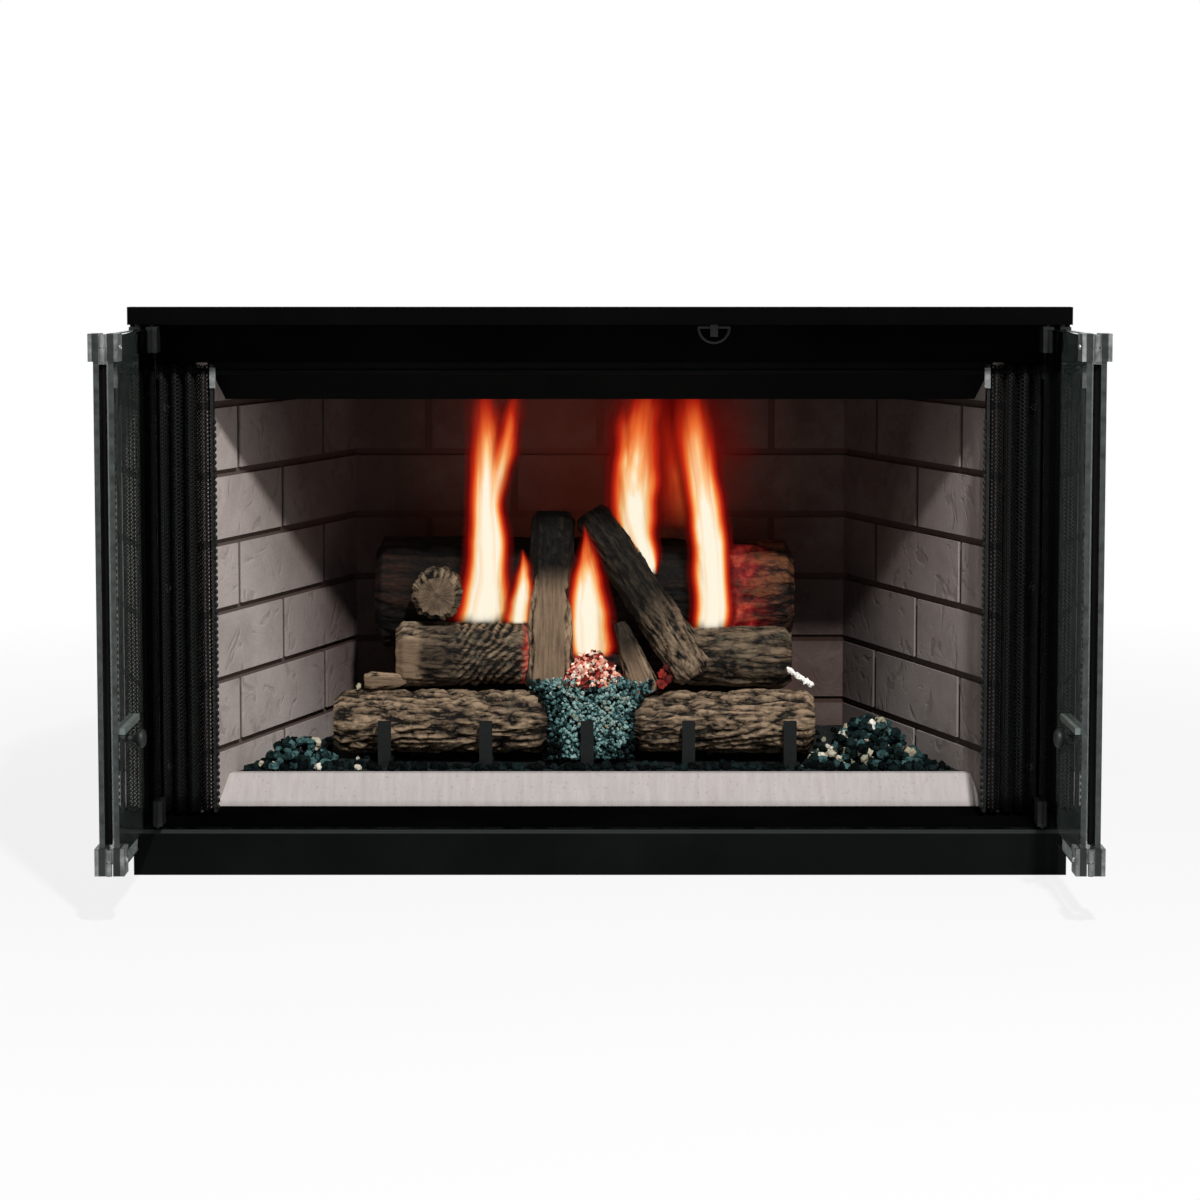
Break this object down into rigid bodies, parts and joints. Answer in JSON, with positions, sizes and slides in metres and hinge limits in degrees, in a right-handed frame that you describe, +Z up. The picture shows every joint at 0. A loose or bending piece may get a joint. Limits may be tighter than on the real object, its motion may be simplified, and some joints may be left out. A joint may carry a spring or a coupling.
{
  "type": "wood-burning fireplace",
  "caption": "Factory-built wood-burning fireplace: brick-lined splayed firebox, bi-fold smoked glass doors, mesh curtains, damper, grate and logs.",
  "frame": {"origin": "on the floor, in the middle of the body's width and depth, on the base pan's underside", "axes": "+X to the right as seen from the room, +Y from the front to the back, +Z up"},
  "size_m": [0.956, 0.7189, 0.582],
  "materials": {
    "black_steel": "satin black heat-proof paint",
    "galvanised_steel": "galvanised sheet",
    "bright_steel": "brushed and nickel-plated",
    "refractory": "cast firebrick with recessed joints",
    "mesh": "fine woven chain mesh",
    "smoked_glass": "smoked tempered glass",
    "grate_iron": "rough cast",
    "firewood": "bark and charred wood",
    "embers": "loose coals and ash"
  },
  "bodies": {
    "fireplace": {"base_pan": "black_steel", "hearth_plate": "black_steel", "kick_panel": "black_steel", "jamb_left": "black_steel", "jamb_right": "black_steel", "lintel_panel": "black_steel", "top_track": "black_steel", "smoke_shield": "black_steel", "refractory_retainers": "black_steel", "screen_rod": "black_steel", "rod_brackets": "black_steel", "casing_wrap": "galvanised_steel", "casing_top": "galvanised_steel", "firebox_shell": "galvanised_steel", "hearth_supports": "galvanised_steel", "flue_collar": "galvanised_steel", "throat_plate": "galvanised_steel", "damper_bearings": "galvanised_steel", "retainer_screws": "bright_steel", "refractory_left": "refractory", "refractory_right": "refractory", "refractory_back": "refractory", "hearth_slab": "refractory", "hearth_lip": "refractory", "mesh_curtain_left": "mesh", "mesh_curtain_right": "mesh", "grate_bars": "grate_iron", "grate_rails": "grate_iron", "grate_feet": "grate_iron", "front_log_left": "firewood", "front_log_right": "firewood", "base_log": "firewood", "back_log": "firewood", "left_log": "firewood", "right_log": "firewood", "cross_log": "firewood", "upright_log": "firewood", "leaning_log": "firewood", "ember_bed": "embers", "ember_heaps": "embers"},
    "door_left_outer": {"glass_outer_left": "smoked_glass", "clips_outer_left": "bright_steel", "hinge_pins_left": "bright_steel"},
    "door_left_inner": {"glass_inner_left": "smoked_glass", "clips_inner_left": "bright_steel", "door_pull_left": "bright_steel", "door_knob_left": "bright_steel"},
    "screen_left": {"screen_bar_left": "bright_steel"},
    "door_right_outer": {"glass_outer_right": "smoked_glass", "clips_outer_right": "bright_steel", "hinge_pins_right": "bright_steel"},
    "door_right_inner": {"glass_inner_right": "smoked_glass", "clips_inner_right": "bright_steel", "door_pull_right": "bright_steel", "door_knob_right": "bright_steel"},
    "screen_right": {"screen_bar_right": "bright_steel"},
    "damper": {"damper_plate": "galvanised_steel", "damper_shaft": "galvanised_steel"},
    "damper_rod": {"damper_rod": "black_steel"},
    "damper_ring": {"damper_ring": "black_steel"}
  },
  "joints": [
    {"name": "door_left_swing", "type": "hinge", "parent": "fireplace", "child": "door_left_outer", "pos_m": [-0.468, -0.2405, 0.3055], "axis": [0, 0, 1], "range_deg": [0, 90]},
    {"name": "door_left_fold", "type": "hinge", "parent": "door_left_outer", "child": "door_left_inner", "pos_m": [-0.461, -0.4695, 0.3055], "axis": [0, 0, 1], "range_deg": [-180, 0]},
    {"name": "door_right_swing", "type": "hinge", "parent": "fireplace", "child": "door_right_outer", "pos_m": [0.468, -0.2405, 0.3055], "axis": [0, 0, 1], "range_deg": [-90, 0]},
    {"name": "door_right_fold", "type": "hinge", "parent": "door_right_outer", "child": "door_right_inner", "pos_m": [0.461, -0.4695, 0.3055], "axis": [0, 0, 1], "range_deg": [0, 180]},
    {"name": "screen_left_draw", "type": "slide", "parent": "fireplace", "child": "screen_left", "axis": [1, 0, 0], "range_m": [0, 0.394], "deforming": ["mesh_curtain_left"]},
    {"name": "screen_right_draw", "type": "slide", "parent": "fireplace", "child": "screen_right", "axis": [-1, 0, 0], "range_m": [0, 0.394], "deforming": ["mesh_curtain_right"]},
    {"name": "damper_turn", "type": "hinge", "parent": "fireplace", "child": "damper", "pos_m": [0, 0.0185, 0.5325], "axis": [1, 0, 0], "range_deg": [0, 60]},
    {"name": "damper_pull", "type": "slide", "parent": "fireplace", "child": "damper_rod", "axis": [0, -1, 0], "range_m": [0, 0.0237]},
    {"name": "ring_swing", "type": "hinge", "parent": "damper_rod", "child": "damper_ring", "pos_m": [0.118, -0.1845, 0.56], "axis": [-1, 0, 0], "range_deg": [0, 80]}
  ],
  "couplings": [
    {"joint": "door_left_fold", "follows": "door_left_swing", "ratio": -2},
    {"joint": "door_right_fold", "follows": "door_right_swing", "ratio": -2},
    {"joint": "damper_pull", "follows": "damper_turn", "m_per_rad": 0.022604}
  ]
}
